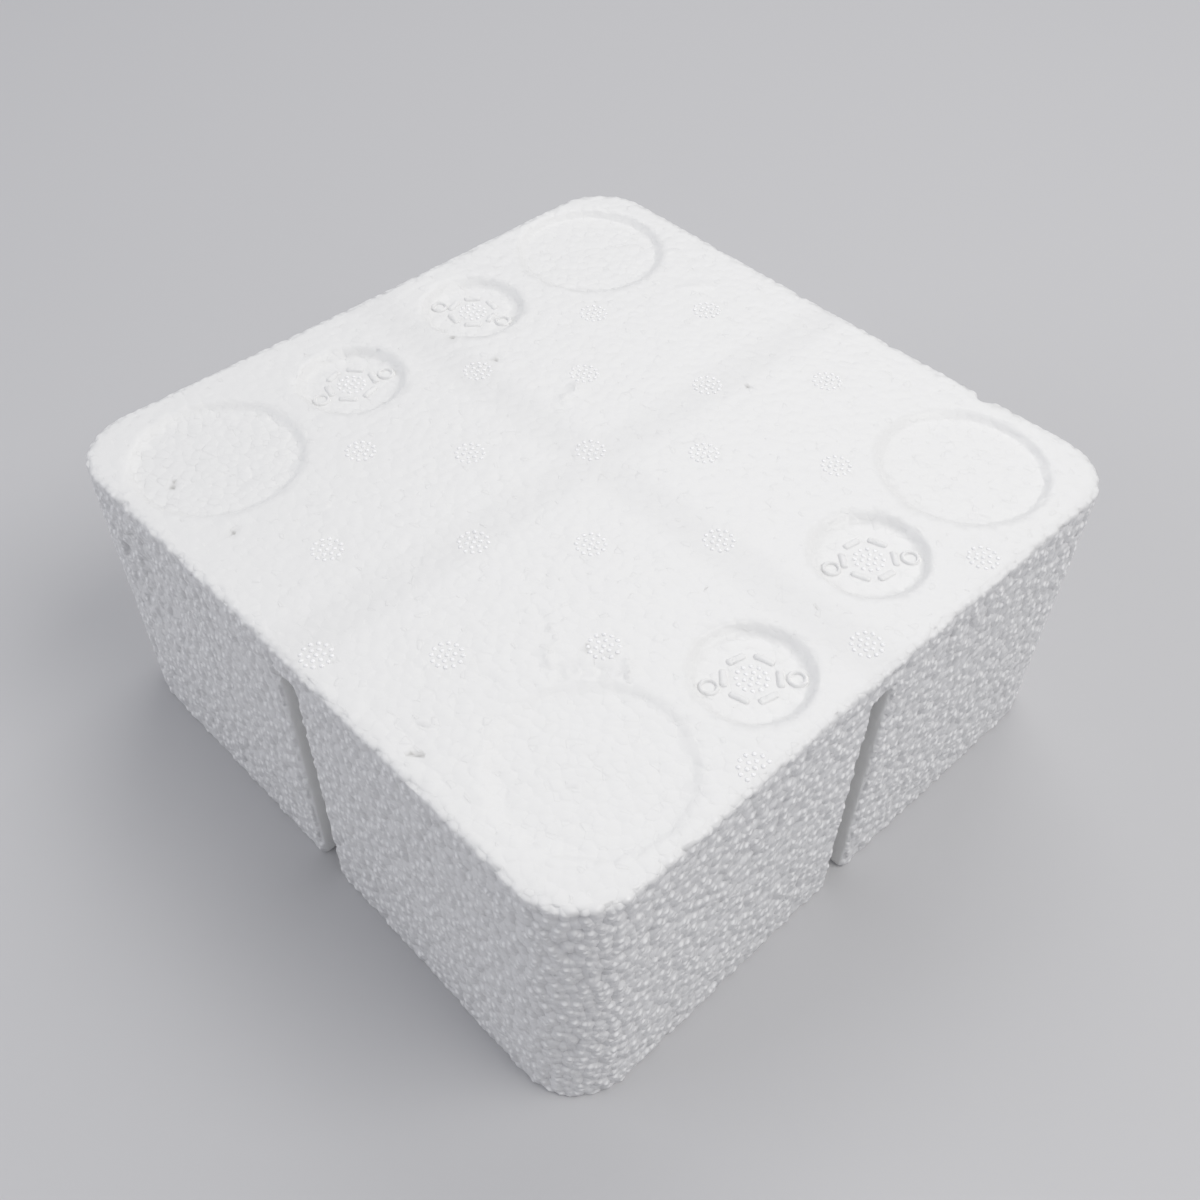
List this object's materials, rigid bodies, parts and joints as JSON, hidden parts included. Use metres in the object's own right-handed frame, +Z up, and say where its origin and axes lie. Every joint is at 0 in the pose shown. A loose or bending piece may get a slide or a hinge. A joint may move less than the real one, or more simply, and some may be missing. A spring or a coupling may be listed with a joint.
{
  "type": "foam corner protector",
  "caption": "Connected set of moulded foam corner protectors: a white block with rounded corners, a cross-shaped slot from below and an open pocket for a product's corners.",
  "frame": {"origin": "middle of the underside, level with the lower ends of the walls that the block rests on", "axes": "+Z up through the top plate, along the block's shortest side; X and Y along the sides, which lie level with the two arms of the slot. The filler mark is on the -Y face, on its -X side."},
  "size_m": [0.11, 0.11, 0.05],
  "materials": {
    "expanded_polystyrene": "moulded bead foam: white, matt, with fused beads of about 1 mm that glint faintly"
  },
  "bodies": {
    "root": {"foam_corner_block": "expanded_polystyrene"}
  },
  "joints": []
}
